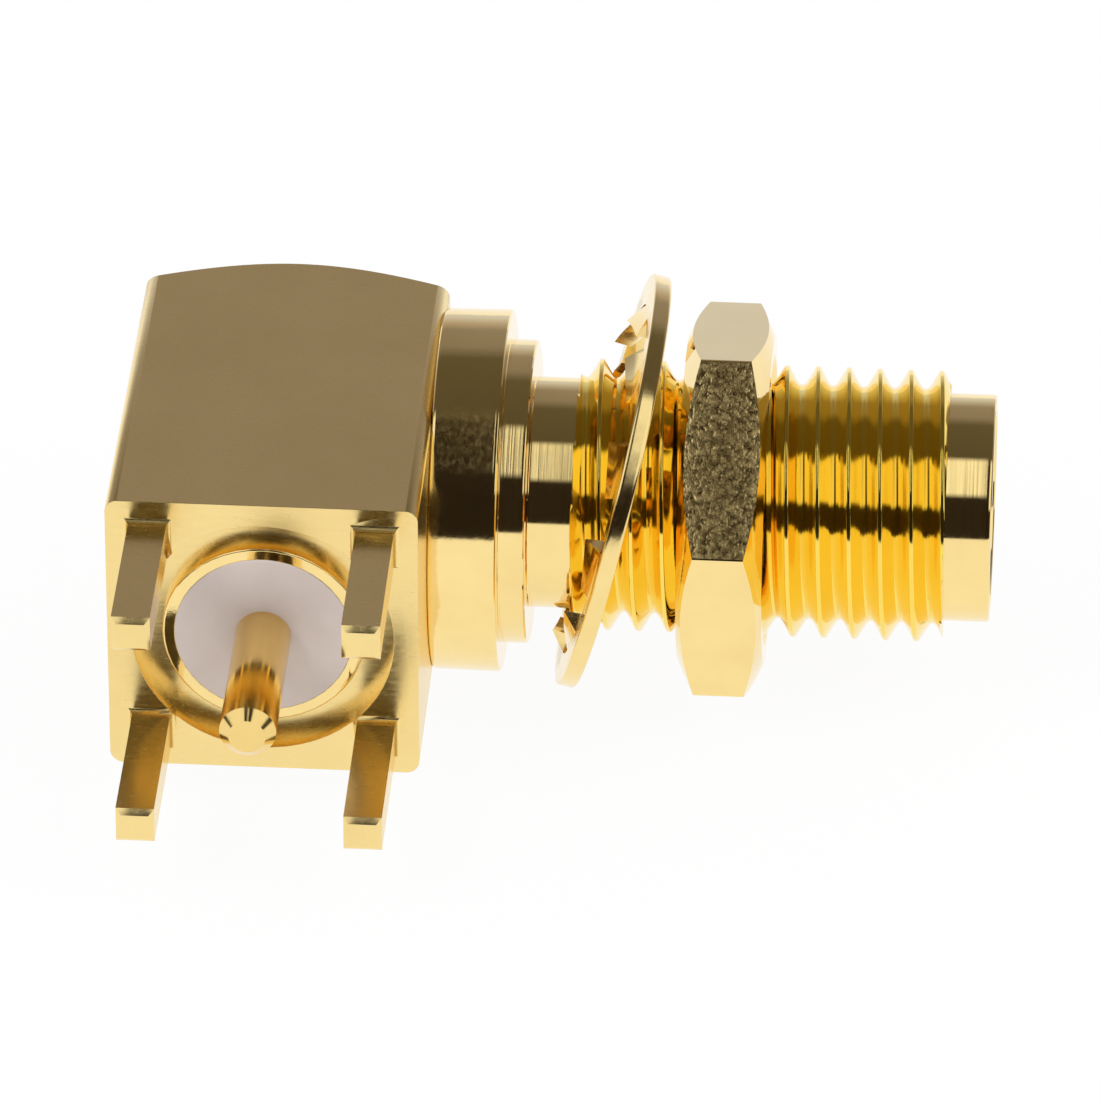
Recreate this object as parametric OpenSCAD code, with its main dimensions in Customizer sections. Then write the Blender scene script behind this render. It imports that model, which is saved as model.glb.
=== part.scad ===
// Right-angle coaxial jack for a circuit board, with a bulkhead thread, a lock washer and a panel nut.
// Millimetres. The board face is z = 0, the board pin runs down -Z, and the coaxial axis runs along +X.

/* [Body block] */
// Width and depth of the square bar
block_w = 7; // [6.7:0.1:9]
// Height of the bar above the board face
block_h = 10.5; // [10.2:0.1:12]
// Rounding of the four upright edges
edge_r = 0.3; // [0.1:0.05:0.5]
// Diameter of the flat that the turned chamfer leaves on top
top_flat_d = 6.6; // [5:0.1:6.9]
// Slope of the turned chamfer on top, in degrees
top_slope = 30; // [15:1:45]
// Height of the coaxial axis above the board face
axis_h = 6.5; // [6:0.1:7]

/* [Legs] */
// Distance between leg centres, both ways
leg_pitch = 5.08; // [5.05:0.01:5.6]
// Width of a square leg
leg_w = 0.86; // [0.6:0.01:0.9]
// Length of the legs below the board face
leg_len = 4; // [2.5:0.1:5]
// Chamfer around the end of a leg
leg_tip = 0.12; // [0.05:0.01:0.2]
// Fillet left by the cutter where a leg meets the board face
leg_root = 0.12; // [0.05:0.01:0.2]

/* [Board side] */
// Diameter of the insulator bead around the board pin
bead_d = 4; // [3.4:0.1:4.2]
// How far the bead lies below the board face
bead_recess = 0.1; // [0.05:0.01:0.3]
// Wall of the lip that holds the bead
lip_wall = 0.28; // [0.2:0.01:0.4]
// How far the lip lies below the board face
lip_recess = 0.12; // [0.05:0.01:0.3]
// Outer diameter of the ring cut around the lip
ring_d = 5.9; // [5.4:0.1:6]
// Depth of the ring cut around the lip
ring_depth = 0.54; // [0.3:0.01:0.8]
// Metal left between the bead and the coaxial bore
bead_cover = 0.4; // [0.2:0.05:0.8]
// Air around the board pin above the bead
pin_air = 0.4; // [0.2:0.05:0.8]

/* [Board pin] */
// Diameter of the board pin
pin_d = 1.27; // [1:0.01:1.3]
// Length of the board pin below the board face
pin_len = 4; // [2.5:0.1:5]
// Chamfer at the tip of the board pin
pin_tip = 0.25; // [0.1:0.01:0.35]
// Diameter of the pin's neck inside the bead
pin_neck_d = 0.94; // [0.86:0.02:0.96]
// Diameter of the pin's top, where it is soldered through the contact
pin_top_d = 0.8; // [0.5:0.05:0.85]
// Gap between the end of the neck and the contact
pin_gap = 0.04; // [0.02:0.01:0.2]
// How far the pin's top stands out above the contact
pin_top_over = 0.3; // [0.1:0.05:0.6]

/* [Jack barrel] */
// Diameter of the spigot that is pressed into the block
spigot_d = 5.6; // [5:0.1:6]
// Length of the spigot
spigot_len = 1.4; // [0.8:0.1:1.5]
// Diameter of the flange
flange_d = 8.3; // [7.6:0.1:9.6]
// Thickness of the flange
flange_t = 1.55; // [1:0.05:2.5]
// Diameter of the step in front of the flange
step_d = 6.95; // [6.5:0.05:7.2]
// Thickness of the step
step_t = 0.6; // [0.3:0.05:1.2]
// Diameter of the neck between the step and the thread
neck_d = 5.28; // [5:0.01:5.34]
// Length of the neck
neck_len = 1; // [0.5:0.05:2]
// Outer diameter of the thread
thread_d = 6.2; // [6:0.05:6.35]
// Pitch of the thread, 36 turns to the inch
pitch = 0.7056; // [0.6:0.0001:0.8]
// Number of turns of thread
thread_turns = 12; // [10:1:16]
// Depth of the thread
thread_depth = 0.43; // [0.3:0.01:0.45]
// Diameter of the plain nose in front of the thread
nose_d = 5.2; // [5:0.05:5.3]
// Length of the plain nose
nose_len = 1.05; // [0.6:0.05:2]
// Chamfer on the rims of the barrel
rim = 0.08; // [0.04:0.01:0.12]
// Diameter of the bore that takes the mating plug
mating_d = 4.6; // [4.4:0.02:4.7]
// Depth of the mating bore, down to the reference plane
mating_depth = 1.93; // [1.5:0.01:2.2]

/* [Front insulator and contact] */
// Diameter of the insulator in the barrel
sleeve_d = 4.1; // [3.9:0.02:4.2]
// Diameter of the centre contact
contact_d = 1.27; // [1.2:0.01:1.4]
// Bore of the contact's socket
socket_d = 0.94; // [0.9:0.01:1]
// Depth of the contact's socket
socket_depth = 2.6; // [2.2:0.1:3.4]
// Width of the slots that let the socket spring
slot_w = 0.15; // [0.1:0.01:0.18]
// Length of the slots
slot_len = 2.2; // [1.5:0.1:2.5]
// Height of the barb and of the collar that lock the contact in its sleeve
barb = 0.12; // [0.05:0.01:0.3]
// Length of the barb, and of the collar behind the sleeve
barb_len = 0.5; // [0.3:0.1:1]
// Distance from the reference plane back to the barb
barb_back = 6; // [4:0.5:8]
// How far the contact runs past the board pin's axis
tail = 0.9; // [0.6:0.05:1.5]

/* [Rear cap] */
// Diameter of the disc that closes the access bore
cap_d = 5; // [4.4:0.1:5.6]
// Thickness of the disc
cap_t = 0.8; // [0.4:0.05:1]
// Chamfer on the disc's outer edge
cap_edge = 0.1; // [0.05:0.01:0.15]

/* [Lock washer] */
// Thickness of the lock washer
washer_t = 0.4; // [0.3:0.01:0.5]
// Width of the washer's ring
washer_ring = 0.725; // [0.5:0.025:1.2]
// Number of teeth
teeth = 10; // [6:1:12]
// Length of a tooth
tooth_len = 0.45; // [0.3:0.05:0.6]
// Width of a tooth
tooth_w = 1.2; // [0.8:0.05:1.4]
// Twist of the teeth about their own length, in degrees
tooth_twist = 9; // [5:1:20]
// Slope of the teeth away from the nut, in degrees
tooth_slope = 20; // [10:1:30]
// How far each tooth runs into the ring
tooth_root = 0.1; // [0.05:0.01:0.2]
// Room between the thread and the tips of the teeth
washer_room = 0.55; // [0.5:0.01:0.8]
// Distance from the step to the middle of the washer
washer_off = 1.8; // [1.75:0.01:2]
// How far the loose washer leans over, in degrees
washer_lean = 13.1; // [6:0.1:14]
// How far the loose washer hangs off the axis, sideways and up
washer_hang = [-0.26, 0.17]; // [-0.3:0.01:0.3]

/* [Nut] */
// Width across the nut's flats
nut_af = 8; // [7.8:0.01:9]
// Thickness of the nut
nut_t = 1.95; // [1.6:0.05:2.6]
// How far the nut's round faces stay inside its flats
nut_face_in = 0.25; // [0.1:0.01:0.4]
// Slope of the nut's chamfers, in degrees
nut_slope = 25; // [15:1:35]
// Countersink at both ends of the nut's thread
nut_sink = 0.2; // [0.05:0.01:0.3]
// Running clearance of the nut over the crests of the thread
nut_room = 0.05; // [0.03:0.01:0.1]
// Distance from the step to the nut
nut_off = 3.45; // [3.4:0.05:5]
// Turn of the nut about the coaxial axis, in degrees
nut_turn = 45.2; // [0:0.1:60]

/* [Hidden] */
$fn = 96;
eps = 0.01;                                     // how far a cutter runs past the face it opens
gold = [0.86, 0.68, 0.36];
ptfe = [0.87, 0.83, 0.81];

// Places along the coaxial axis
face_x = block_w / 2;
spigot_x = face_x - spigot_len;
flange_x = face_x + flange_t;
step_x = flange_x + step_t;
neck_x = step_x + neck_len;
thread_x = neck_x + thread_turns * pitch;
barrel_x = thread_x + nose_len;
plane_x = barrel_x - mating_depth;
cap_x = -face_x + cap_t;

// Radii that follow from a neighbour's size
lip_r = bead_d / 2 + lip_wall;
crest_r = thread_d / 2;
root_r = crest_r - thread_depth;
contact_r = contact_d / 2;
tip_r = crest_r + washer_room;                  // tips of the washer's teeth
hole_r = tip_r + tooth_len;                     // inside of the washer's ring
washer_r = hole_r + washer_ring;
nut_bore_r = crest_r + nut_room;
nut_face_r = nut_af / 2 - nut_face_in;
nut_corner_r = nut_af / 2 / cos(30);

// Heights along the board pin
bead_top = axis_h - sleeve_d / 2 - bead_cover;
pin_shoulder = axis_h - contact_r - pin_gap;
pin_top = axis_h + contact_r + pin_top_over;

// The crests are an eighth of the pitch wide, and the flanks meet at 60 degrees
crest_w = pitch / 8;
flank_w = thread_depth * tan(30);
root_w = pitch - crest_w - 2 * flank_w;

// Turns a shape drawn up the Z axis so that it lies along the coaxial axis
module coaxial() {
    translate([0, 0, axis_h]) rotate([0, 90, 0]) children();
}

// A round bar along Z between two heights
module bar(r, low, high) {
    translate([0, 0, low]) cylinder(r = r, h = high - low);
}

// A square with rounded corners, centred
module rounded_square(w, r) {
    union() {
        square([w, w - 2 * r], center = true);
        square([w - 2 * r, w], center = true);
        for (x = [-1, 1], y = [-1, 1]) {
            translate([x * (w / 2 - r), y * (w / 2 - r)]) circle(r = r);
        }
    }
}

// Half outline of a leg: a fillet at the board face and a chamfer at the end
module leg_outline() {
    half = leg_w / 2;
    polygon([
        [-half - leg_root, 0], [-half, -leg_root],
        [-half, -leg_len + leg_tip], [-half + leg_tip, -leg_len],
        [half - leg_tip, -leg_len], [half, -leg_len + leg_tip],
        [half, -leg_root], [half + leg_root, 0],
        [half + leg_root, eps], [-half - leg_root, eps]
    ]);
}

// One leg, where its two side outlines cross
module leg() {
    slab = leg_w + 2 * leg_root;
    intersection() {
        rotate([90, 0, 0]) linear_extrude(slab, center = true) leg_outline();
        rotate([90, 0, 90]) linear_extrude(slab, center = true) leg_outline();
    }
}

// The square bar, turned to a chamfer on top
module turned_bar() {
    out_r = block_w;
    drop = (out_r - top_flat_d / 2) * tan(top_slope);
    intersection() {
        linear_extrude(block_h) rounded_square(block_w, edge_r);
        rotate_extrude() polygon([
            [0, 0], [out_r, 0], [out_r, block_h - drop], [top_flat_d / 2, block_h], [0, block_h]
        ]);
    }
}

// The ring cut into the board face around the bead's lip, which is cut back a little too
module ring_cut() {
    rotate_extrude() polygon([
        [bead_d / 2 - eps, -leg_root - eps], [ring_d / 2, -leg_root - eps], [ring_d / 2, ring_depth],
        [lip_r, ring_depth], [lip_r, lip_recess], [bead_d / 2 - eps, lip_recess]
    ]);
}

module body_block() {
    color(gold) difference() {
        union() {
            turned_bar();
            for (x = [-1, 1], y = [-1, 1]) {
                translate([x * leg_pitch / 2, y * leg_pitch / 2, 0]) leg();
            }
        }
        ring_cut();
        // seat of the bead, and the pin's way up to the coaxial bore
        bar(bead_d / 2, -leg_root - eps, bead_top);
        bar(pin_neck_d / 2 + pin_air, bead_top - eps, axis_h);
        coaxial() {
            bar(sleeve_d / 2, cap_x, face_x + eps);
            bar(spigot_d / 2, spigot_x, face_x + eps);
            bar(cap_d / 2, -face_x - eps, cap_x);
        }
    }
}

module rear_cap() {
    color(gold) coaxial() rotate_extrude() polygon([
        [0, -face_x], [cap_d / 2 - cap_edge, -face_x], [cap_d / 2, -face_x + cap_edge],
        [cap_d / 2, cap_x], [0, cap_x]
    ]);
}

module board_insulator() {
    color(ptfe) difference() {
        bar(bead_d / 2, bead_recess, bead_top);
        bar(pin_neck_d / 2, 0, bead_top + eps);
    }
}

module board_pin() {
    r = pin_d / 2;
    neck_r = pin_neck_d / 2;
    color(gold) rotate_extrude() polygon([
        [0, -pin_len], [r - pin_tip, -pin_len], [r, -pin_len + pin_tip], [r, bead_recess],
        [neck_r, bead_recess], [neck_r, pin_shoulder], [pin_top_d / 2, pin_shoulder],
        [pin_top_d / 2, pin_top], [0, pin_top]
    ]);
}

// One turn of thread, as radius and place along the axis
function thread_turn(x) = [
    [root_r, x + root_w / 2], [crest_r, x + root_w / 2 + flank_w],
    [crest_r, x + root_w / 2 + flank_w + crest_w], [root_r, x + pitch - root_w / 2]
];

module jack_barrel() {
    fr = flange_d / 2;
    sr = step_d / 2;
    nr = nose_d / 2;
    outline = concat(
        [
            [0, spigot_x], [spigot_d / 2 - rim, spigot_x], [spigot_d / 2, spigot_x + rim],
            [spigot_d / 2, face_x], [fr - rim, face_x], [fr, face_x + rim],
            [fr, flange_x - rim], [fr - rim, flange_x], [sr, flange_x],
            [sr, step_x - rim], [sr - rim, step_x], [neck_d / 2, step_x],
            [neck_d / 2, neck_x], [root_r, neck_x]
        ],
        [for (i = [0 : thread_turns - 1]) each thread_turn(neck_x + i * pitch)],
        [
            [root_r, thread_x], [nr, thread_x], [nr, barrel_x - rim],
            [nr - rim, barrel_x], [0, barrel_x]
        ]
    );
    color(gold) coaxial() difference() {
        rotate_extrude() polygon(outline);
        bar(sleeve_d / 2, spigot_x - eps, plane_x + eps);
        bar(mating_d / 2, plane_x, barrel_x + eps);
    }
}

module front_insulator() {
    barb_x = plane_x - barb_back;
    color(ptfe) coaxial() difference() {
        bar(sleeve_d / 2, spigot_x, plane_x);
        bar(contact_r, spigot_x - eps, plane_x + eps);
        bar(contact_r + barb, barb_x, barb_x + barb_len);
    }
}

module centre_contact() {
    barb_x = plane_x - barb_back;
    color(gold) difference() {
        coaxial() difference() {
            union() {
                bar(contact_r, -tail, plane_x);
                bar(contact_r + barb, barb_x, barb_x + barb_len);
                bar(contact_r + barb, spigot_x - barb_len, spigot_x);
            }
            bar(socket_d / 2, plane_x - socket_depth, plane_x + eps);
            for (turn = [0, 90]) {
                rotate(turn) translate([-contact_d, -slot_w / 2, plane_x - slot_len])
                    cube([2 * contact_d, slot_w, slot_len + eps]);
            }
        }
        bar(pin_top_d / 2, axis_h - contact_d, axis_h + contact_d);
    }
}

// One tooth, from just inside the ring to its tip: it slopes down, and one long side is twisted down
module tooth() {
    root = hole_r + tooth_root;
    tip = tip_r - tooth_root;
    drop = (root - tip) * tan(tooth_slope);
    translate([0, 0, -tooth_w * sin(tooth_twist) / 2]) rotate([90 + tooth_twist, 0, 0])
        linear_extrude(tooth_w, center = true) polygon([
            [root, -washer_t / 2], [tip, -washer_t / 2 - drop],
            [tip, washer_t / 2 - drop], [root, washer_t / 2]
        ]);
}

// The washer lying flat around Z
module flat_washer() {
    union() {
        difference() {
            bar(washer_r, -washer_t / 2, washer_t / 2);
            bar(hole_r, -washer_t, washer_t);
        }
        difference() {
            for (i = [0 : teeth - 1]) rotate(i * 360 / teeth) tooth();
            bar(tip_r, -tooth_w, tooth_w);
        }
    }
}

module lock_washer() {
    color(gold) translate([step_x + washer_off, washer_hang[0], axis_h + washer_hang[1]])
        rotate([0, 0, washer_lean]) rotate([0, 90, 0]) flat_washer();
}

module hex_nut() {
    low = step_x + nut_off;
    high = low + nut_t;
    out_r = nut_corner_r + nut_room;
    cone = (out_r - nut_face_r) * tan(nut_slope);
    color(gold) coaxial() rotate(nut_turn) intersection() {
        translate([0, 0, low]) cylinder(r = nut_corner_r, h = nut_t, $fn = 6);
        rotate_extrude() polygon([
            [nut_bore_r + nut_sink, low], [nut_face_r, low], [out_r, low + cone],
            [out_r, high - cone], [nut_face_r, high], [nut_bore_r + nut_sink, high],
            [nut_bore_r, high - nut_sink], [nut_bore_r, low + nut_sink]
        ]);
    }
}

body_block();
rear_cap();
board_insulator();
board_pin();
jack_barrel();
front_insulator();
centre_contact();
lock_washer();
hex_nut();
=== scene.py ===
"""Looks of a right-angle coaxial jack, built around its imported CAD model.

Everything is in metres and in the model's own frame.
"""

from math import cos, pi, radians, sin, tan

import bmesh
import bpy
from bpy.props import FloatProperty, FloatVectorProperty, IntProperty, PointerProperty
from bpy.types import Operator, Panel, PropertyGroup
from mathutils import Matrix, Vector


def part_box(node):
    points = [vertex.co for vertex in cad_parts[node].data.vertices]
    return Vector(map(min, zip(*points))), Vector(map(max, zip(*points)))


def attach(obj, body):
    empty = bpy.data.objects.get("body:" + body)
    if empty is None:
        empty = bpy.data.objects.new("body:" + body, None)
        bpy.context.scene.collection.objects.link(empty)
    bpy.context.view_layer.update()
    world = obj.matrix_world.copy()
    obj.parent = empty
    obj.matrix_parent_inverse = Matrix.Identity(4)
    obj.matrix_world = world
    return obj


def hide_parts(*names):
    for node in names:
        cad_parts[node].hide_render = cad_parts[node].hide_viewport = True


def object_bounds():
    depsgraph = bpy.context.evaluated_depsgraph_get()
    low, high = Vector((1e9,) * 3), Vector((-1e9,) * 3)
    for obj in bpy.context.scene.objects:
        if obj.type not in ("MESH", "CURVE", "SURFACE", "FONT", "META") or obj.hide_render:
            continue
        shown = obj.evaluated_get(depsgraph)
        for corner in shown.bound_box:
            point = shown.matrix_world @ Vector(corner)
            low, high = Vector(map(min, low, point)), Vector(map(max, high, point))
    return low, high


bl_info = {
    "name": "Coaxial jack",
    "version": (1, 0, 0),
    "blender": (4, 5, 0),
    "location": "3D View > Sidebar > Jack",
    "description": "Builds a gold-plated right-angle coaxial jack with its washer and panel nut",
    "category": "Add Mesh",
}

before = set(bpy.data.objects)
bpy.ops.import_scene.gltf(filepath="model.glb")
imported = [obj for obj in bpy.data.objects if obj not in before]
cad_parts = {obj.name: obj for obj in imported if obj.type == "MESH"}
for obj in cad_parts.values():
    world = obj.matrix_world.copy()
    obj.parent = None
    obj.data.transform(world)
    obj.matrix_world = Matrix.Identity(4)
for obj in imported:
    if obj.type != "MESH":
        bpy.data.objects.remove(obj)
CAD_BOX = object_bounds()

MM = 0.001
MERGE = 1e-7  # points closer than this are one
THREAD_MERGE = 5e-7  # the same for the thread, whose turns meet less exactly
NEAR = 1e-6  # room in the tests of where a face or an edge lies
ROUND_STEPS = 120  # faces round a turned piece
SPARE_TURNS = 3  # turns of thread that are wound past its ends
TOOTH_STEPS = 12  # faces round the washer for each tooth
NUT_SIDES = 6
SIDE_STEPS = 32  # faces round the nut for each side
FLAT = radians(0.5)  # faces that turn less than this are one plane
CORNER = radians(28)  # outer edges that turn more than this get broken
THREAD_FLANK = radians(30)  # slope of the thread's flanks from straight out
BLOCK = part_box("body_block")
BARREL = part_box("jack_barrel")
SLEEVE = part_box("front_insulator")
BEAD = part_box("board_insulator")
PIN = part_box("board_pin")
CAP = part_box("rear_cap")
AXIS_Z = (SLEEVE[0].z + SLEEVE[1].z) / 2  # height of the coaxial axis
SLEEVE_R = (SLEEVE[1].z - SLEEVE[0].z) / 2


def length(name, description, millimetres, least=0.0):
    """A length that a user can change."""
    return FloatProperty(
        name=name,
        description=description,
        default=millimetres * MM,
        min=least,
        unit="LENGTH",
        precision=6,
    )


def angle(name, description, degrees):
    """An angle that a user can change."""
    return FloatProperty(
        name=name,
        description=description,
        default=radians(degrees),
        subtype="ANGLE",
    )


def colour(name, description, value):
    """A linear colour that a user can change."""
    return FloatVectorProperty(
        name=name,
        description=description,
        default=value,
        size=3,
        min=0.0,
        max=1.0,
        subtype="COLOR",
    )


class JackSizes(PropertyGroup):
    """Sizes of the turned and stamped pieces and of the block's edges"""

    edge_break: length("Edge break", "Rounding of the block's milled edges", 0.022)
    leg_break: length("Leg edge break", "Rounding of the legs' edges", 0.012)
    lip_wall: length("Lip wall", "Wall of the lip round the bead", 0.28)
    lip_break: length("Lip edge break", "Rounding of the edge of the lip round the bead", 0.06)
    flange_t: length("Flange thickness", "Thickness of the large flange", 1.55)
    flange_draft: length("Flange draft", "How much the flange's radius falls toward the block", 0.02)
    step_d: length("Step diameter", "Diameter of the step in front of the flange", 6.95)
    step_t: length("Step thickness", "Thickness of the step", 0.6)
    neck_d: length("Neck diameter", "Diameter of the neck behind the thread", 5.28)
    neck_len: length("Neck length", "Length of the neck", 1.0)
    spigot_d: length("Spigot diameter", "Diameter of the spigot inside the block", 5.6)
    thread_d: length("Thread diameter", "Diameter over the crests", 6.2)
    thread_pitch: length("Thread pitch", "Distance between crests, 36 to the inch", 0.7056)
    thread_depth: length("Thread depth", "Height of a crest over the root", 0.43)
    thread_turns: IntProperty(
        name="Thread turns",
        description="Number of turns of thread",
        default=12,
        min=1,
    )
    thread_start: length("Thread start", "Where a crest stands straight above the axis", 11.938)
    nose_d: length("Nose diameter", "Diameter of the plain nose", 5.2)
    nose_len: length("Nose length", "Length of the plain nose", 1.05)
    rim: length("Rim", "Rounding of the barrel's rims", 0.08)
    mating_d: length("Mating bore", "Diameter of the bore that takes the plug", 4.6)
    mating_depth: length("Mating depth", "Depth of the bore that takes the plug", 1.93)
    cap_edge: length("Cap edge", "Rounding of the rear cap's edge", 0.1)
    pin_tip: length("Pin tip", "Chamfer of the board pin's tip", 0.22)
    pin_neck_d: length("Pin neck", "Diameter of the board pin inside the bead", 0.94)
    pin_top_d: length("Pin top", "Diameter of the board pin inside the contact", 0.8)
    pin_drop: length("Pin drop", "Distance from the coaxial axis down to the pin's shoulder", 0.675)
    washer_t: length("Washer thickness", "Thickness of the lock washer", 0.4)
    washer_ring: length("Washer ring", "Width of the lock washer's ring", 0.725)
    washer_r: length("Washer radius", "Outer radius of the lock washer", 4.825)
    washer_off: length("Washer place", "Distance from the step to the washer", 1.8)
    washer_side: length("Washer aside", "How far the washer hangs sideways", -0.26, -1.0)
    washer_up: length("Washer up", "How far the washer hangs up", 0.17, -1.0)
    washer_lean: angle("Washer lean", "How far the loose washer leans over", 13.1)
    teeth: IntProperty(name="Teeth", description="Number of the washer's teeth", default=10, min=3)
    tooth_len: length("Tooth length", "Length of a tooth", 0.45)
    tooth_w: length("Tooth width", "Width of a tooth", 1.2)
    tooth_twist: angle("Tooth twist", "Twist of a tooth about its length", 9)
    tooth_slope: angle("Tooth slope", "Slope of a tooth away from the nut", 20)
    nut_af: length("Nut across flats", "Width of the nut across its flats", 8.0)
    nut_t: length("Nut thickness", "Thickness of the nut", 1.95)
    nut_face_in: length("Nut face", "How far the nut's round faces stay inside its flats", 0.25)
    nut_slope: angle("Nut chamfer", "Slope of the nut's chamfers", 25)
    nut_sink: length("Nut countersink", "Countersink of the nut's thread", 0.2)
    nut_room: length("Nut room", "Running clearance of the nut's thread", 0.05)
    nut_off: length("Nut place", "Distance from the step to the nut", 3.45)
    nut_turn: angle("Nut turn", "Turn of the nut about its axis", 45.2)


class JackColours(PropertyGroup):
    """Colours of the plating, the insulators and the floor"""

    gold: colour("Gold", "Plating where it is clean and smooth", (0.98, 0.755, 0.325))
    gold_shade: colour("Gold shade", "Plating in its duller patches", (0.93, 0.705, 0.295))
    # the thread's two golds are deeper than the block's: a painted reflection that stands in for the shine
    # its flanks cast into each other
    thread_bounce_gold: colour("Thread gold", "Deeper plating on the thread", (1.0, 0.735, 0.14))
    thread_shade: colour("Thread shade", "The same in its duller patches", (0.97, 0.7, 0.125))
    contact_gold: colour("Contact gold", "Plating on the board pin and contact", (0.92, 0.67, 0.25))
    contact_shade: colour("Contact shade", "The same in its duller patches", (0.88, 0.625, 0.225))
    ptfe: colour("Insulator", "White insulator", (0.71, 0.62, 0.585))
    ptfe_shade: colour("Insulator shade", "Insulator in its greyer patches", (0.66, 0.57, 0.54))
    floor: colour("Floor", "Floor under the jack", (0.97, 0.97, 0.97))


# ---------------------------------------------------------------- meshes


def coaxial(along, out):
    """A point of an outline that is turned about the coaxial axis."""
    return Vector((along, 0, AXIS_Z + out))


def upright(along, out):
    """A point of an outline that is turned about the board pin's axis."""
    return Vector((out, 0, along))


def rounded(corners, steps=3, hold=0.5):
    """An outline's points, where each corner is (along, out, rounding) and a rounded one is a curve.

    A point is held a little way past each end of the curve, by the given share of its size, so that
    the plain faces beside it shade flat.
    """
    points = []
    for n, (along, out, size) in enumerate(corners):
        here = Vector((along, out))
        if not size or n in (0, len(corners) - 1):
            points.append(here)
            continue
        before = Vector(corners[n - 1][:2]) - here
        after = Vector(corners[n + 1][:2]) - here
        first = here + before.normalized() * min(size, before.length / 2)
        last = here + after.normalized() * min(size, after.length / 2)
        room = 4 * size
        if hold and before.length > room:
            points.append(first + before.normalized() * size * hold)
        for k in range(steps + 1):
            t = k / steps
            points.append((1 - t) ** 2 * first + 2 * t * (1 - t) * here + t * t * last)
        if hold and after.length > room:
            points.append(last + after.normalized() * size * hold)
    return points


def spin_outline(bm, corners, place, steps=ROUND_STEPS):
    """Turns an outline once round the axis that its place function belongs to."""
    verts = [bm.verts.new(place(*p)) for p in rounded(corners)]
    edges = [bm.edges.new(pair) for pair in zip(verts, verts[1:])]
    axis = (place(1, 0) - place(0, 0)).normalized()
    bmesh.ops.spin(
        bm,
        geom=verts + edges,
        cent=place(0, 0),
        axis=axis,
        angle=2 * pi,
        steps=steps,
        use_merge=True,
    )
    bmesh.ops.remove_doubles(bm, verts=bm.verts, dist=MERGE)


def break_edges(bm, edges, size):
    """Rounds edges a little, as a file or a tumbler does."""
    bmesh.ops.bevel(
        bm,
        geom=[edge for edge in edges if edge.is_valid],
        offset=size,
        offset_type="OFFSET",
        affect="EDGES",
        segments=2,
        profile=0.5,
        material=-1,
        clamp_overlap=True,
    )


def add_piece(name, bm, body, material, node, sharp=28):
    """Makes a mesh a finished piece that stands for one CAD node.

    Edges that turn more than sharp degrees are shaded as corners.
    """
    bmesh.ops.remove_doubles(bm, verts=bm.verts, dist=MERGE)
    bmesh.ops.recalc_face_normals(bm, faces=bm.faces)
    for face in bm.faces:
        face.smooth = True
    for edge in bm.edges:
        edge.smooth = edge.is_manifold and edge.calc_face_angle(0) < radians(sharp)
    mesh = bpy.data.meshes.new(name)
    bm.to_mesh(mesh)
    bm.free()
    mesh.materials.append(material)
    piece = bpy.data.objects.new(name, mesh)
    bpy.context.collection.objects.link(piece)
    even = piece.modifiers.new("even_normals", "WEIGHTED_NORMAL")
    even.keep_sharp = True
    even.weight = 100
    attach(piece, body)
    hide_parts(node)
    return piece


def dress(name, material):
    """Gives a CAD node that stays its material."""
    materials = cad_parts[name].data.materials
    materials.clear()
    materials.append(material)


# ---------------------------------------------------------------- materials

MARK_DETAIL = 2.5  # sizes of machining mark that lie over each other
PATCH_DETAIL = 3.0  # the same for the patches of tone
NOISE_FALL = 0.6  # how much of its strength each finer size keeps
MARK_LOW, MARK_HIGH = 0.3, 0.7  # the span of the noise that goes from smooth to rough
PATCH_LOW, PATCH_HIGH = 0.35, 0.7  # the span that goes from the clean tone to the duller one
PATCH_SCALE = 600.0  # patches to the metre


def node(tree, kind, inputs=None, **settings):
    """A shader node with its settings made and its inputs set or linked."""
    made = tree.nodes.new(kind)
    for name, value in settings.items():
        setattr(made, name, value)
    for name, value in (inputs or {}).items():
        if isinstance(value, bpy.types.NodeSocket):
            tree.links.new(value, made.inputs[name])
        else:
            made.inputs[name].default_value = value
    return made


def maths(tree, operation, first, second=0.0):
    """The result of a sum on one or two values."""
    return node(tree, "ShaderNodeMath", {0: first, 1: second}, operation=operation).outputs[0]


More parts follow.
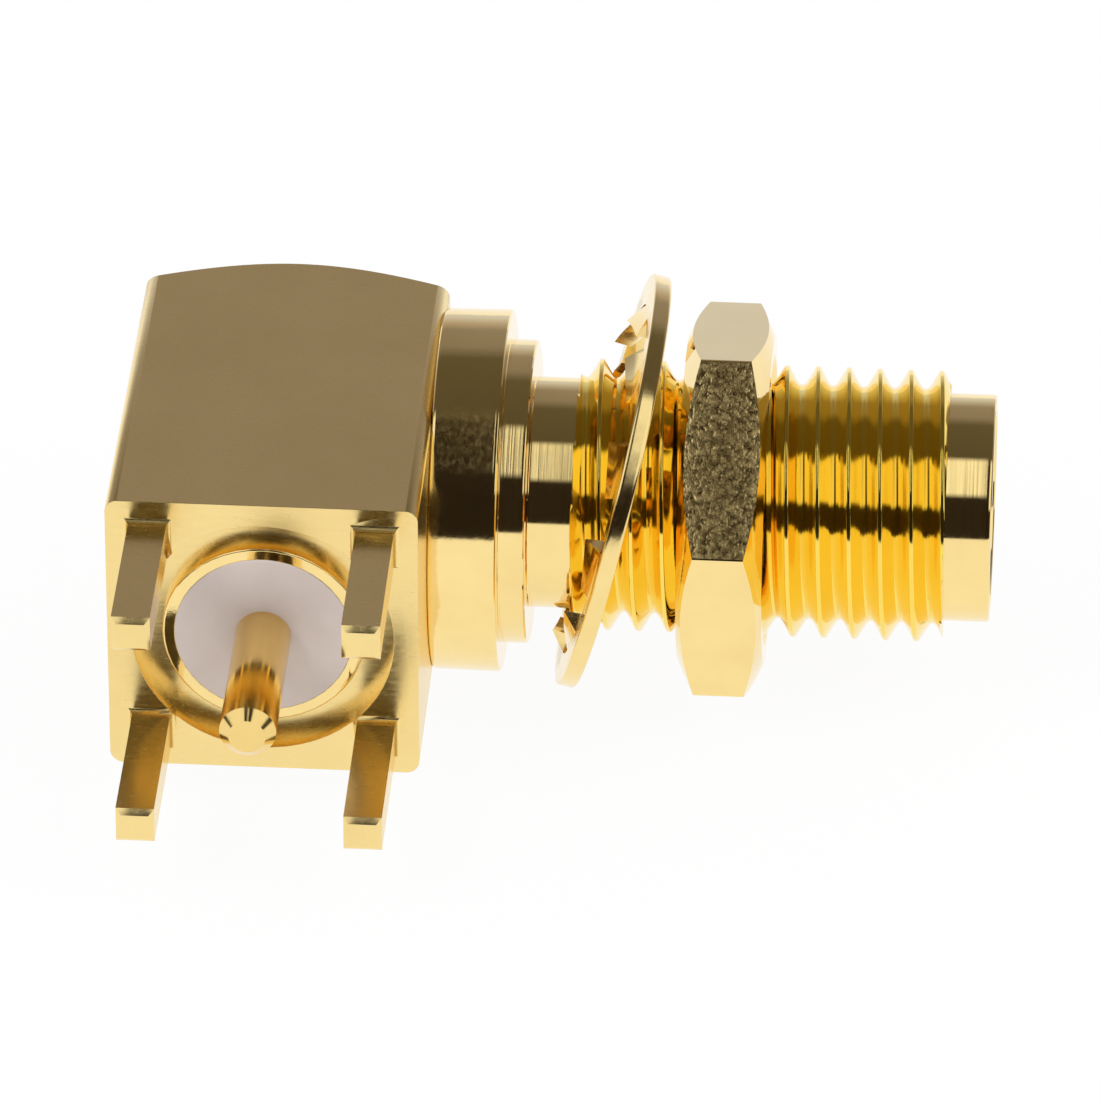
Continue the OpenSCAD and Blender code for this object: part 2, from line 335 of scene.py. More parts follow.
def surface_group():
    """Machining marks, patches of tone and patches of gloss, for every finish of the jack."""
    known = bpy.data.node_groups.get("machined_surface")
    if known:
        return known
    tree = bpy.data.node_groups.new("machined_surface", "ShaderNodeTree")
    sockets = (
        ("Place", "INPUT", "NodeSocketVector"),
        ("Marks", "INPUT", "NodeSocketVector"),
        ("Patches", "INPUT", "NodeSocketFloat"),
        ("Colour", "INPUT", "NodeSocketColor"),
        ("Shade", "INPUT", "NodeSocketColor"),
        ("Smooth", "INPUT", "NodeSocketFloat"),
        ("Rough", "INPUT", "NodeSocketFloat"),
        ("Colour", "OUTPUT", "NodeSocketColor"),
        ("Roughness", "OUTPUT", "NodeSocketFloat"),
        ("Height", "OUTPUT", "NodeSocketFloat"),
    )
    for name, way, kind in sockets:
        tree.interface.new_socket(name, in_out=way, socket_type=kind)
    given = tree.nodes.new("NodeGroupInput").outputs
    stretched = node(
        tree, "ShaderNodeVectorMath", {0: given["Place"], 1: given["Marks"]}, operation="MULTIPLY"
    )
    marks = node(
        tree,
        "ShaderNodeTexNoise",
        {"Vector": stretched.outputs[0], "Scale": 1.0, "Detail": MARK_DETAIL, "Roughness": NOISE_FALL},
    )
    patches = node(
        tree,
        "ShaderNodeTexNoise",
        {
            "Vector": given["Place"],
            "Scale": given["Patches"],
            "Detail": PATCH_DETAIL,
            "Roughness": NOISE_FALL,
        },
    )
    spread = node(
        tree,
        "ShaderNodeMapRange",
        {"Value": patches.outputs["Fac"], "From Min": PATCH_LOW, "From Max": PATCH_HIGH},
    )
    gloss = node(
        tree,
        "ShaderNodeMapRange",
        {
            "Value": marks.outputs["Fac"],
            "From Min": MARK_LOW,
            "From Max": MARK_HIGH,
            "To Min": given["Smooth"],
            "To Max": given["Rough"],
        },
    )
    tone = tone_mix(tree, spread.outputs[0], given["Colour"], given["Shade"])
    out = tree.nodes.new("NodeGroupOutput").inputs
    tree.links.new(tone, out["Colour"])
    tree.links.new(gloss.outputs[0], out["Roughness"])
    tree.links.new(marks.outputs["Fac"], out["Height"])
    return tree


def tone_mix(tree, factor, first, second):
    """A mix of two colours."""
    made = node(tree, "ShaderNodeMix", data_type="RGBA")
    for value, socket in ((factor, 0), (first, 6), (second, 7)):
        tree.links.new(value, made.inputs[socket])
    return made.outputs[2]


def finish(name, colours, marks, depth, smooth, rough, patches=PATCH_SCALE, metal=1.0):
    """A finish with its own machining marks: how many to the metre along each axis, and how deep.

    Its roughness goes from smooth to rough, and its colour between the two given.
    """
    known = bpy.data.materials.get(name)
    if known:
        return known
    material = bpy.data.materials.new(name)
    material.use_nodes = True
    tree = material.node_tree
    shader = tree.nodes["Principled BSDF"]
    place = node(tree, "ShaderNodeTexCoord").outputs["Object"]
    surface = node(tree, "ShaderNodeGroup", node_tree=surface_group())
    tree.links.new(place, surface.inputs["Place"])
    for socket, value in (
        ("Marks", marks),
        ("Patches", patches),
        ("Colour", (*colours[0], 1.0)),
        ("Shade", (*colours[1], 1.0)),
        ("Smooth", smooth),
        ("Rough", rough),
    ):
        surface.inputs[socket].default_value = value
    bump = node(
        tree,
        "ShaderNodeBump",
        {"Strength": 1.0, "Distance": depth, "Height": surface.outputs["Height"]},
    )
    tree.links.new(surface.outputs["Colour"], shader.inputs["Base Color"])
    tree.links.new(surface.outputs["Roughness"], shader.inputs["Roughness"])
    tree.links.new(bump.outputs["Normal"], shader.inputs["Normal"])
    shader.inputs["Metallic"].default_value = metal
    return material


def even_marks(number):
    """Marks that run no way more than another."""
    return (number, number, number)


def gold(name, **surface):
    """A gold finish in the user's colours."""
    colours = bpy.context.scene.jack_colours
    return finish(name, (tuple(colours.gold), tuple(colours.gold_shade)), **surface)


def brushed_gold():
    """Milled and brushed faces of the block and of its cap."""
    marks = (2500.0, 9000.0, 14000.0)
    return gold("brushed_gold", marks=marks, depth=0.35e-6, smooth=0.2, rough=0.28, patches=300.0)


def turned_gold():
    """Turned faces, with fine marks round the coaxial axis."""
    return gold("turned_gold", marks=(5500.0, 120.0, 120.0), depth=1.3e-6, smooth=0.05, rough=0.1)


def thread_bounce_gold():
    """The thread, in a deeper gold that paints in the shine its flanks cast into each other."""
    colours = bpy.context.scene.jack_colours
    pair = (tuple(colours.thread_bounce_gold), tuple(colours.thread_shade))
    marks = (5500.0, 150.0, 150.0)
    return finish("thread_bounce_gold", pair, marks=marks, depth=1.5e-6, smooth=0.06, rough=0.12)


def contact_gold():
    """The drawn board pin and the contact."""
    colours = bpy.context.scene.jack_colours
    pair = (tuple(colours.contact_gold), tuple(colours.contact_shade))
    marks = (1500.0, 1500.0, 300.0)
    return finish("contact_gold", pair, marks=marks, depth=3.0e-6, smooth=0.1, rough=0.2)


def tumbled_gold():
    """Faces that were tumbled before plating: the flange's rim and the lip round the bead."""
    return gold("tumbled_gold", marks=even_marks(7000.0), depth=0.9e-6, smooth=0.05, rough=0.1)


def nut_gold():
    """The nut's faces, bright but finely pitted."""
    return gold("nut_gold", marks=even_marks(7000.0), depth=0.8e-6, smooth=0.03, rough=0.07)


def stamped_gold():
    """Faces of the stamped washer."""
    return gold("stamped_gold", marks=even_marks(3000.0), depth=2.0e-6, smooth=0.1, rough=0.18)


def white_insulator():
    """Turned PTFE."""
    colours = bpy.context.scene.jack_colours
    pair = (tuple(colours.ptfe), tuple(colours.ptfe_shade))
    marks = even_marks(4000.0)
    return finish("white_insulator", pair, marks=marks, depth=1.5e-6, smooth=0.35, rough=0.5, metal=0.0)


# ---------------------------------------------------------------- pieces


class JACK_OT_block(Operator):
    """The milled block with its legs, from the CAD shape with its edges broken"""

    bl_idname = "jack.block"
    bl_label = "Body block"

    def execute(self, context):
        sizes = context.scene.jack_sizes
        bm = bmesh.new()
        bm.from_mesh(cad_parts["body_block"].data)
        bmesh.ops.remove_doubles(bm, verts=bm.verts, dist=MERGE)
        bmesh.ops.dissolve_limit(bm, angle_limit=FLAT, verts=bm.verts, edges=bm.edges)
        lip_r = BEAD[1].y + sizes.lip_wall
        block_edges, leg_edges, lip_edges = [], [], []
        for edge in bm.edges:
            if not edge.is_manifold or edge.calc_face_angle_signed() < CORNER:
                continue
            ends = [(vert.co.xy.length, vert.co.z) for vert in edge.verts]
            if any(z < -MERGE for _, z in ends):
                leg_edges.append(edge)
            elif all(abs(out - lip_r) < sizes.lip_break and z > 0 for out, z in ends):
                lip_edges.append(edge)
            else:
                block_edges.append(edge)
        break_edges(bm, block_edges, sizes.edge_break)
        break_edges(bm, leg_edges, sizes.leg_break)
        break_edges(bm, lip_edges, sizes.lip_break)
        piece = add_piece("block", bm, "connector", brushed_gold(), "body_block", sharp=50)
        piece.data.materials.append(tumbled_gold())
        verts = piece.data.vertices
        behind_lip = BEAD[1].y / 2
        for polygon in piece.data.polygons:
            out = max(verts[n].co.xy.length for n in polygon.vertices)
            if out < lip_r + NEAR and MERGE < polygon.center.z < behind_lip:
                polygon.material_index = 1
        return {"FINISHED"}


def helical_thread(bm, low, high, low_r, high_r):
    """A helical thread between two places on the axis, where it ends at rings of the given radii.

    It is wound past both places, and what lies beyond them is drawn in to the rings.
    """
    sizes = bpy.context.scene.jack_sizes
    pitch = sizes.thread_pitch
    crest = sizes.thread_d / 2
    crest_w = pitch / 8
    soft = pitch / 40
    # the flanks would meet at an apex below the root, whose curve starts this far up them on each side
    apex = crest - (pitch - crest_w) / 2 / tan(THREAD_FLANK)
    reach = (crest - sizes.thread_depth - apex) * 2 / cos(THREAD_FLANK)
    turns = sizes.thread_turns + SPARE_TURNS
    start = sizes.thread_start
    while start > low - pitch:
        start -= pitch
    corners = [
        (0, crest, 0),
        (crest_w / 2, crest, soft),
        (pitch / 2, apex, reach),
        (pitch - crest_w / 2, crest, soft),
        (pitch, crest, 0),
    ]
    verts = [bm.verts.new(coaxial(start + p[0], p[1])) for p in rounded(corners, steps=4, hold=0)]
    edges = [bm.edges.new(pair) for pair in zip(verts, verts[1:])]
    flanks = [edge for edge in edges if edge.calc_length() > pitch / 6]
    bmesh.ops.subdivide_edges(bm, edges=flanks, cuts=2)
    bmesh.ops.spin(
        bm,
        geom=bm.verts[:] + bm.edges[:],
        cent=coaxial(0, 0),
        axis=(1, 0, 0),
        dvec=(pitch / ROUND_STEPS, 0, 0),
        angle=2 * pi,
        steps=ROUND_STEPS,
    )
    one_turn = bm.verts[:] + bm.edges[:] + bm.faces[:]
    for n in range(1, turns):
        copy = bmesh.ops.duplicate(bm, geom=one_turn)["geom"]
        verts = [g for g in copy if isinstance(g, bmesh.types.BMVert)]
        bmesh.ops.translate(bm, verts=verts, vec=(n * pitch, 0, 0))
    for vert in bm.verts:
        place = min(max(vert.co.x, low), high)
        if place != vert.co.x:
            out = (vert.co - coaxial(vert.co.x, 0)).normalized()
            vert.co = coaxial(place, 0) + out * (low_r if place == low else high_r)
    bmesh.ops.remove_doubles(bm, verts=bm.verts, dist=THREAD_MERGE)
    bmesh.ops.dissolve_degenerate(bm, edges=bm.edges, dist=THREAD_MERGE)


class JACK_OT_barrel(Operator):
    """The turned barrel, with its helical thread"""

    bl_idname = "jack.barrel"
    bl_label = "Jack barrel"

    def execute(self, context):
        sizes = context.scene.jack_sizes
        spigot_x, barrel_x = BARREL[0].x, BARREL[1].x
        face_x = BLOCK[1].x
        flange_r = BARREL[1].y
        flange_x = face_x + sizes.flange_t
        step_x = flange_x + sizes.step_t
        neck_x = step_x + sizes.neck_len
        thread_x = barrel_x - sizes.nose_len
        plane_x = barrel_x - sizes.mating_depth
        rim = sizes.rim
        step_r, neck_r, nose_r = sizes.step_d / 2, sizes.neck_d / 2, sizes.nose_d / 2
        spigot_r, mating_r = sizes.spigot_d / 2, sizes.mating_d / 2
        bm = bmesh.new()
        helical_thread(bm, neck_x, thread_x, neck_r, nose_r)
        corners = [
            (neck_x, neck_r, 0),
            (step_x, neck_r, rim / 2),
            (step_x, step_r, rim),
            (flange_x, step_r, rim / 4),
            (flange_x, flange_r, rim),
            (face_x, flange_r - sizes.flange_draft, rim),
            (face_x, spigot_r, rim / 4),
            (spigot_x, spigot_r, rim),
            (spigot_x, SLEEVE_R, rim / 4),
            (plane_x, SLEEVE_R, rim / 4),
            (plane_x, mating_r, rim / 4),
            (barrel_x, mating_r, rim),
            (barrel_x, nose_r, rim),
            (thread_x, nose_r, 0),
        ]
        spin_outline(bm, corners, coaxial)
        bmesh.ops.remove_doubles(bm, verts=bm.verts, dist=THREAD_MERGE)
        piece = add_piece("barrel", bm, "connector", turned_gold(), "jack_barrel", sharp=25)
        piece.data.materials.append(tumbled_gold())
        piece.data.materials.append(thread_bounce_gold())
        for polygon in piece.data.polygons:
            middle = polygon.center
            out = (middle - coaxial(middle.x, 0)).length
            if out > flange_r - rim / 2 and middle.x < flange_x:
                polygon.material_index = 1
            elif out > neck_r and neck_x < middle.x < thread_x:
                # the thread's faces take the deeper gold, painted for the shine between its flanks
                polygon.material_index = 2
        return {"FINISHED"}


class JACK_OT_insulators(Operator):
    """The white bead round the board pin and the sleeve in the barrel"""

    bl_idname = "jack.insulators"
    bl_label = "Insulators"

    def execute(self, context):
        sizes = context.scene.jack_sizes
        bead_r, neck_r = BEAD[1].y, sizes.pin_neck_d / 2
        low, high = BEAD[0].z, BEAD[1].z
        edge = sizes.rim / 2
        bm = bmesh.new()
        corners = [
            (high, neck_r, 0),
            (low, neck_r, edge),
            (low, bead_r, edge),
            (high, bead_r, edge),
            (high, neck_r, 0),
        ]
        spin_outline(bm, corners, upright)
        add_piece("bead", bm, "connector", white_insulator(), "board_insulator")
        dress("front_insulator", white_insulator())
        return {"FINISHED"}


class JACK_OT_contacts(Operator):
    """The board pin with its chamfered tip, and the slotted centre contact"""

    bl_idname = "jack.contacts"
    bl_label = "Contacts"

    def execute(self, context):
        sizes = context.scene.jack_sizes
        low, high = PIN[0].z, PIN[1].z
        pin_r, neck_r, top_r = PIN[1].y, sizes.pin_neck_d / 2, sizes.pin_top_d / 2
        bead_z = BEAD[0].z
        shoulder = AXIS_Z - sizes.pin_drop
        bm = bmesh.new()
        corners = [
            (low, 0, 0),
            (low, pin_r - sizes.pin_tip, 0),
            (low + sizes.pin_tip, pin_r, 0),
            (bead_z, pin_r, 0),
            (bead_z, neck_r, 0),
            (shoulder, neck_r, 0),
            (shoulder, top_r, 0),
            (high, top_r, sizes.rim),
            (high, 0, 0),
        ]
        spin_outline(bm, corners, upright)
        add_piece("board_lead", bm, "connector", contact_gold(), "board_pin")
        dress("centre_contact", contact_gold())
        return {"FINISHED"}


class JACK_OT_cap(Operator):
    """The disc that closes the access bore behind the contact"""

    bl_idname = "jack.cap"
    bl_label = "Rear cap"

    def execute(self, context):
        edge = context.scene.jack_sizes.cap_edge
        low, high, out = CAP[0].x, CAP[1].x, CAP[1].y
        bm = bmesh.new()
        spin_outline(bm, [(low, 0, 0), (low, out, edge), (high, out, 0), (high, 0, 0)], coaxial)
        add_piece("cap", bm, "connector", brushed_gold(), "rear_cap")
        return {"FINISHED"}


def washer_place():
    """Where the loose washer lies: it leans over and hangs off the axis."""
    sizes = bpy.context.scene.jack_sizes
    step_x = BLOCK[1].x + sizes.flange_t + sizes.step_t
    middle = Vector((step_x + sizes.washer_off, sizes.washer_side, AXIS_Z + sizes.washer_up))
    lean = Matrix.Rotation(sizes.washer_lean, 4, "Z")
    return Matrix.Translation(middle) @ lean @ Matrix.Rotation(pi / 2, 4, "Y")


def tooth_roots(wall, headings):
    """The faces of the hole's wall that each tooth grows from."""
    half_w = bpy.context.scene.jack_sizes.tooth_w / 2
    groups = []
    for heading in headings:
        turn = Matrix.Rotation(heading, 3, "Z")
        out, aside = turn @ Vector((1, 0, 0)), turn @ Vector((0, 1, 0))
        middles = [(face, face.calc_center_median()) for face in wall]
        groups.append([f for f, at in middles if at.dot(out) > 0 and abs(at.dot(aside)) < half_w])
    return groups


def bend_tooth(bm, faces, heading):
    """Draws one tooth out of the hole's wall in two bends, each of which slopes and twists it."""
    sizes = bpy.context.scene.jack_sizes
    out = Matrix.Rotation(heading, 3, "Z") @ Vector((1, 0, 0))
    bends = 2
    reach = sizes.tooth_len / bends
    twist = sizes.tooth_twist / bends
    drop = reach * tan(sizes.tooth_slope) + sizes.tooth_w * sin(twist) / 2
    for _ in range(bends):
        made = bmesh.ops.extrude_face_region(bm, geom=faces)["geom"]
        bmesh.ops.delete(bm, geom=faces, context="FACES")
        verts = [g for g in made if isinstance(g, bmesh.types.BMVert)]
        faces = [g for g in made if isinstance(g, bmesh.types.BMFace)]
        bmesh.ops.translate(bm, verts=verts, vec=-out * reach - Vector((0, 0, drop)))
        middle = sum((v.co for v in verts), Vector()) / len(verts)
        bmesh.ops.rotate(bm, verts=verts, cent=middle, matrix=Matrix.Rotation(twist, 3, out))


class JACK_OT_washer(Operator):
    """The stamped lock washer, whose teeth are bent out of its ring"""

    bl_idname = "jack.washer"
    bl_label = "Lock washer"

    def execute(self, context):
        sizes = context.scene.jack_sizes
        half = sizes.washer_t / 2
        out_r = sizes.washer_r
        hole_r = out_r - sizes.washer_ring
        edge = half / 3
        bm = bmesh.new()
        corners = [
            (-half, hole_r, 0),
            (-half, out_r, edge),
            (half, out_r, edge),
            (half, hole_r, 0),
            (-half, hole_r, 0),
        ]
        spin_outline(bm, corners, upright, sizes.teeth * TOOTH_STEPS)
        bmesh.ops.recalc_face_normals(bm, faces=bm.faces)
        wall = [f for f in bm.faces if max(v.co.xy.length for v in f.verts) < hole_r + MERGE]
        headings = [2 * pi * n / sizes.teeth for n in range(sizes.teeth)]
        for faces, heading in zip(tooth_roots(wall, headings), headings):
            bend_tooth(bm, faces, heading)
        bmesh.ops.transform(bm, verts=bm.verts, matrix=washer_place())
        add_piece("washer", bm, "washer", stamped_gold(), "lock_washer", sharp=35)
        return {"FINISHED"}


class JACK_OT_nut(Operator):
    """The hexagon panel nut, turned to chamfers at both faces"""

    bl_idname = "jack.nut"
    bl_label = "Panel nut"

    def execute(self, context):
        sizes = context.scene.jack_sizes
        low = BLOCK[1].x + sizes.flange_t + sizes.step_t + sizes.nut_off
        high = low + sizes.nut_t
        flat = sizes.nut_af / 2
        face_r = flat - sizes.nut_face_in
        bore_r = sizes.thread_d / 2 + sizes.nut_room
        sink = sizes.nut_sink
        chamfer = (flat - face_r) * tan(sizes.nut_slope)
        bm = bmesh.new()
        corners = [
            (low + sink, bore_r, 0),
            (low, bore_r + sink, 0),
            (low, face_r, 0),
            (low + chamfer, flat, 0),
            (high - chamfer, flat, 0),
            (high, face_r, 0),
            (high, bore_r + sink, 0),
            (high - sink, bore_r, 0),
            (low + sink, bore_r, 0),
        ]
        spin_outline(bm, corners, coaxial, NUT_SIDES * SIDE_STEPS)
        corner = 2 * pi / NUT_SIDES
        # the turned blank becomes a hexagon, whose corners reach further out along the chamfers' cones
        for vert in bm.verts:
            around = vert.co - coaxial(vert.co.x, 0)
            if around.length < face_r + MERGE:
                continue
            turn = Vector((0, 0, 1)).angle(around) % corner
            hex_r = flat / cos(turn - corner / 2)
            cone = (hex_r - face_r) * tan(sizes.nut_slope)
            near_low = vert.co.x < (low + high) / 2
            vert.co = around.normalized() * hex_r + coaxial(low + cone if near_low else high - cone, 0)
        ridge_r = flat / cos(corner / 2) - NEAR
        ridges = [
            edge for edge in bm.edges
            if all((vert.co - coaxial(vert.co.x, 0)).length > ridge_r for vert in edge.verts)
        ]
        break_edges(bm, ridges, sizes.rim / 2)
        spin = Matrix.Rotation(sizes.nut_turn, 3, "X")
        bmesh.ops.rotate(bm, verts=bm.verts, cent=coaxial(0, 0), matrix=spin)
        add_piece("nut", bm, "nut", nut_gold(), "hex_nut", sharp=15)
        return {"FINISHED"}


# ---------------------------------------------------------------- stage

CAMERA_AT = Vector((19.61, -132.56, -200.83)) * MM
CAMERA_AIM = Vector((6.1842, -0.037, 4.0)) * MM
CAMERA_UP = Vector((-0.0372, -0.8401, 0.5411))
CAMERA_LENS = 352.52
CAMERA_SENSOR = 36
CAMERA_NEAR, CAMERA_FAR = 0.01, 10
STUDIO_R = 0.6  # radius of the reflector dome
FLOOR_HALF = 1.0
FLOOR_GAP = 0.02 * MM  # room between the jack's lowest edge and the floor


def add_camera():
    """The camera looks at the jack from the board side, as it lies on its side."""
    back = (CAMERA_AT - CAMERA_AIM).normalized()
    right = CAMERA_UP.cross(back).normalized()
    turn = Matrix((right, back.cross(right), back)).transposed()
    lens = bpy.data.cameras.new("camera")
    lens.lens = CAMERA_LENS
    lens.sensor_width = CAMERA_SENSOR
    lens.clip_start = CAMERA_NEAR
    lens.clip_end = CAMERA_FAR
    camera = bpy.data.objects.new("camera", lens)
    camera.matrix_world = Matrix.Translation(CAMERA_AT) @ turn.to_4x4()
    bpy.context.collection.objects.link(camera)
    bpy.context.scene.camera = camera


def seen_directly(tree):
    """1 for the rays that show the backdrop: from the camera, from metal and through glass."""
    path = node(tree, "ShaderNodeLightPath").outputs
    first = maths(tree, "MAXIMUM", path["Is Camera Ray"], path["Is Glossy Ray"])
    return maths(tree, "MAXIMUM", first, path["Is Transmission Ray"])


def new_material(name):
    """A material with nothing but its output."""
    material = bpy.data.materials.new(name)
    material.use_nodes = True
    tree = material.node_tree
    tree.nodes.clear()
    return material, tree, node(tree, "ShaderNodeOutputMaterial")


def mix(tree, factor, first, second):
    """One shader mixed with another."""
    return node(tree, "ShaderNodeMixShader", {0: factor, 1: first, 2: second}).outputs[0]


def add_floor(shadow=0.05):
    """A white floor under the jack's side that keeps a faint shadow and isn't seen from below."""
    bm = bmesh.new()
    bmesh.ops.create_grid(bm, x_segments=1, y_segments=1, size=FLOOR_HALF)
    below = Matrix.Translation((0, CAD_BOX[1].y + FLOOR_GAP, 0))
    bmesh.ops.transform(bm, verts=bm.verts, matrix=below @ Matrix.Rotation(pi / 2, 4, "X"))
    mesh = bpy.data.meshes.new("floor")
    bm.to_mesh(mesh)
    bm.free()
    material, tree, out = new_material("floor")
    tone = (*bpy.context.scene.jack_colours.floor, 1.0)
    white = node(tree, "ShaderNodeEmission", {"Color": (1, 1, 1, 1), "Strength": 1.0}).outputs[0]
    matt = node(tree, "ShaderNodeBsdfDiffuse", {"Color": tone}).outputs[0]
    share = maths(tree, "MULTIPLY", seen_directly(tree), 1 - shadow)
    top = mix(tree, share, matt, white)
    clear = node(tree, "ShaderNodeBsdfTransparent").outputs[0]
    behind = node(tree, "ShaderNodeNewGeometry").outputs["Backfacing"]
    tree.links.new(mix(tree, behind, top, clear), out.inputs["Surface"])
    mesh.materials.append(material)
    floor = bpy.data.objects.new("floor", mesh)
    bpy.context.collection.objects.link(floor)


def ramp(tree, factor, stops):
    """A scale of colour over stops of (degrees, brightness, tint)."""
    made = node(tree, "ShaderNodeValToRGB", {"Fac": factor})
    elements = made.color_ramp.elements
    for n, (degrees, value, tint) in enumerate(stops):
        place = degrees / 180
        stop = elements[n] if n < 2 else elements.new(place)
        stop.position = place
        stop.color = (*(value * part for part in tint), 1)
    return made.outputs["Color"]


# Tints of the studio's walls
WHITE = (1.0, 1.0, 1.0)
DUSK = (1.0, 0.77, 0.62)
OLIVE = (1.0, 0.88, 0.66)
TAN = (1.0, 0.91, 0.98)
SKY = (0.95, 1.0, 1.2)
# Brightness of the studio at angles from the near horizon (0) over the top (90) to the far one (180):
# straight ahead, along the light strip, and to both sides, where the soft boxes stand
STUDIO_AHEAD = (
    (0, 1.0, WHITE), (1.2, 0.02, DUSK), (30, 0.02, DUSK), (60, 0.028, DUSK), (75, 0.04, DUSK),
    (81, 0.1, OLIVE), (125, 0.12, OLIVE), (136, 0.26, TAN), (155, 0.285, TAN), (164, 0.48, TAN),
    (175, 0.7, SKY),
)
STUDIO_STRIP = (
    (0, 1.0, WHITE), (1.2, 0.03, DUSK), (42, 0.03, DUSK), (47, 1.2, WHITE), (80, 1.2, WHITE),
    (85, 0.1, OLIVE), (125, 0.12, OLIVE), (137, 0.27, TAN), (156, 0.3, TAN), (175, 0.7, SKY),
)
STUDIO_ASIDE = (
    (0, 1.0, WHITE), (1.2, 0.03, DUSK), (29, 0.03, DUSK), (33, 1.0, WHITE), (80, 1.0, WHITE),
    (85, 0.1, OLIVE), (125, 0.12, OLIVE), (137, 0.27, TAN), (156, 0.3, TAN), (175, 0.7, SKY),
)
ASIDE_FROM, ASIDE_TO = 0.21, 0.26  # sine of the angle to the side at which the soft boxes begin
# Middle and half width on the dome of the light strip ahead, and of the dark gap in it; how soft both are
STRIP_X, STRIP_HALF = -9.5 * MM, 21.5 * MM
GAP_X, GAP_HALF = -13.2 * MM, 7.3 * MM
STRIP_SOFT = 1 * MM


def band(tree, value, middle, half):
    """1 inside a band of a value, 0 outside it."""
    off = maths(tree, "ABSOLUTE", maths(tree, "SUBTRACT", value, middle))
    ends = {"Value": off, "From Min": half + STRIP_SOFT, "From Max": half - STRIP_SOFT}
    return node(tree, "ShaderNodeMapRange", ends).outputs[0]


def add_studio():
    """A dome that only reflections see: a dark front with a light strip, soft boxes aside, a pale back."""
    bm = bmesh.new()
    bmesh.ops.create_uvsphere(bm, u_segments=48, v_segments=24, radius=STUDIO_R)
    everything = bm.verts[:] + bm.edges[:] + bm.faces[:]
    bmesh.ops.bisect_plane(
        bm,
        geom=everything,
        dist=MERGE,
        plane_co=(0, CAD_BOX[1].y, 0),
        plane_no=(0, 1, 0),
        clear_outer=True,
    )
    mesh = bpy.data.meshes.new("studio")
    bm.to_mesh(mesh)
    bm.free()
    material, tree, out = new_material("studio")
    place = node(tree, "ShaderNodeTexCoord").outputs["Object"]
    parts = node(tree, "ShaderNodeSeparateXYZ", {0: place}).outputs
    up = maths(tree, "MULTIPLY", parts["Y"], -1.0)
    ahead = maths(tree, "MULTIPLY", parts["Z"], -1.0)
    share = maths(tree, "MULTIPLY", maths(tree, "ARCTAN2", up, ahead), 1 / pi)
    ends = {
        "Value": maths(tree, "ABSOLUTE", parts["X"]),
        "From Min": ASIDE_FROM * STUDIO_R,
        "From Max": ASIDE_TO * STUDIO_R,
    }
    box = node(tree, "ShaderNodeMapRange", ends).outputs[0]
    whole = band(tree, parts["X"], STRIP_X, STRIP_HALF)
    strip = maths(tree, "SUBTRACT", whole, band(tree, parts["X"], GAP_X, GAP_HALF))
    middle = tone_mix(tree, strip, ramp(tree, share, STUDIO_AHEAD), ramp(tree, share, STUDIO_STRIP))
    shade = tone_mix(tree, box, middle, ramp(tree, share, STUDIO_ASIDE))
    light = node(tree, "ShaderNodeEmission", {"Color": shade, "Strength": 1.0}).outputs[0]
    tree.links.new(light, out.inputs["Surface"])
    material.cycles.emission_sampling = "NONE"
    mesh.materials.append(material)
    studio = bpy.data.objects.new("studio", mesh)
    bpy.context.collection.objects.link(studio)
    studio.visible_camera = False
    studio.visible_diffuse = False
    studio.visible_transmission = False
    studio.visible_shadow = False


def add_lamp(name, place, power, size):
    """A soft square lamp that faces the jack."""
    lamp = bpy.data.lights.new(name, "AREA")
    lamp.energy = power
    lamp.size = size
    thing = bpy.data.objects.new(name, lamp)
    thing.location = place
    thing.rotation_euler = (CAMERA_AIM - place).to_track_quat("-Z", "Y").to_euler()
    thing.visible_glossy = False
    bpy.context.collection.objects.link(thing)


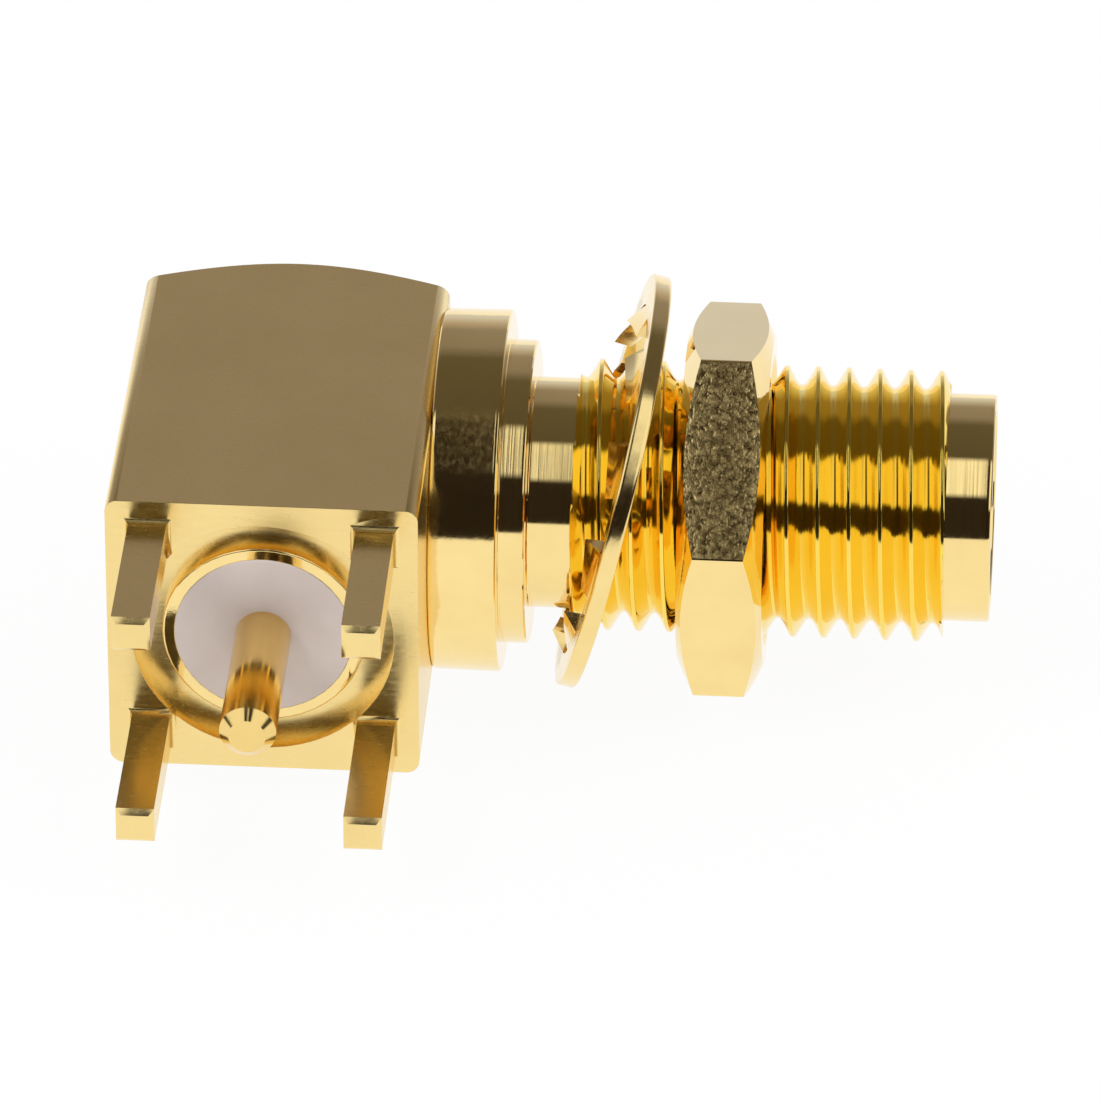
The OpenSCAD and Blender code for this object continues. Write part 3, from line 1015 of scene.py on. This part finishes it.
def add_world(level=0.6):
    """An even white surround, at full white for the rays that show it."""
    world = bpy.data.worlds.new("surround")
    world.use_nodes = True
    tree = world.node_tree
    tree.nodes.clear()
    soft = node(tree, "ShaderNodeBackground", {"Color": (1, 1, 1, 1), "Strength": level}).outputs[0]
    white = node(tree, "ShaderNodeBackground", {"Color": (1, 1, 1, 1), "Strength": 1.0}).outputs[0]
    out = node(tree, "ShaderNodeOutputWorld")
    tree.links.new(mix(tree, seen_directly(tree), soft, white), out.inputs["Surface"])
    bpy.context.scene.world = world


class JACK_OT_stage(Operator):
    """Camera, floor, reflector dome, lamps and surround"""

    bl_idname = "jack.stage"
    bl_label = "Stage"

    def execute(self, context):
        context.scene.view_settings.view_transform = "Standard"
        add_camera()
        add_floor()
        add_studio()
        add_world()
        add_lamp("lamp_left", Vector((-0.3, -0.35, -0.2)), power=0.9, size=0.25)
        add_lamp("lamp_right", Vector((0.35, -0.3, -0.1)), power=0.7, size=0.25)
        return {"FINISHED"}


# ---------------------------------------------------------------- add-on

PIECES = (
    JACK_OT_block,
    JACK_OT_barrel,
    JACK_OT_insulators,
    JACK_OT_contacts,
    JACK_OT_cap,
    JACK_OT_washer,
    JACK_OT_nut,
    JACK_OT_stage,
)


class JACK_PT_tools(Panel):
    """Lists the jack's pieces"""

    bl_idname = "JACK_PT_tools"
    bl_label = "Coaxial jack"
    bl_space_type = "VIEW_3D"
    bl_region_type = "UI"
    bl_category = "Jack"

    def draw(self, context):
        for piece in PIECES:
            self.layout.operator(piece.bl_idname)


CLASSES = (JackSizes, JackColours, *PIECES, JACK_PT_tools)


def register():
    for cls in CLASSES:
        bpy.utils.register_class(cls)
    bpy.types.Scene.jack_sizes = PointerProperty(type=JackSizes)
    bpy.types.Scene.jack_colours = PointerProperty(type=JackColours)


def unregister():
    del bpy.types.Scene.jack_colours
    del bpy.types.Scene.jack_sizes
    for cls in reversed(CLASSES):
        bpy.utils.unregister_class(cls)


def main():
    """Builds every piece and the stage."""
    register()
    for piece in PIECES:
        group, name = piece.bl_idname.split(".")
        getattr(getattr(bpy.ops, group), name)()


if __name__ == "__main__":
    main()
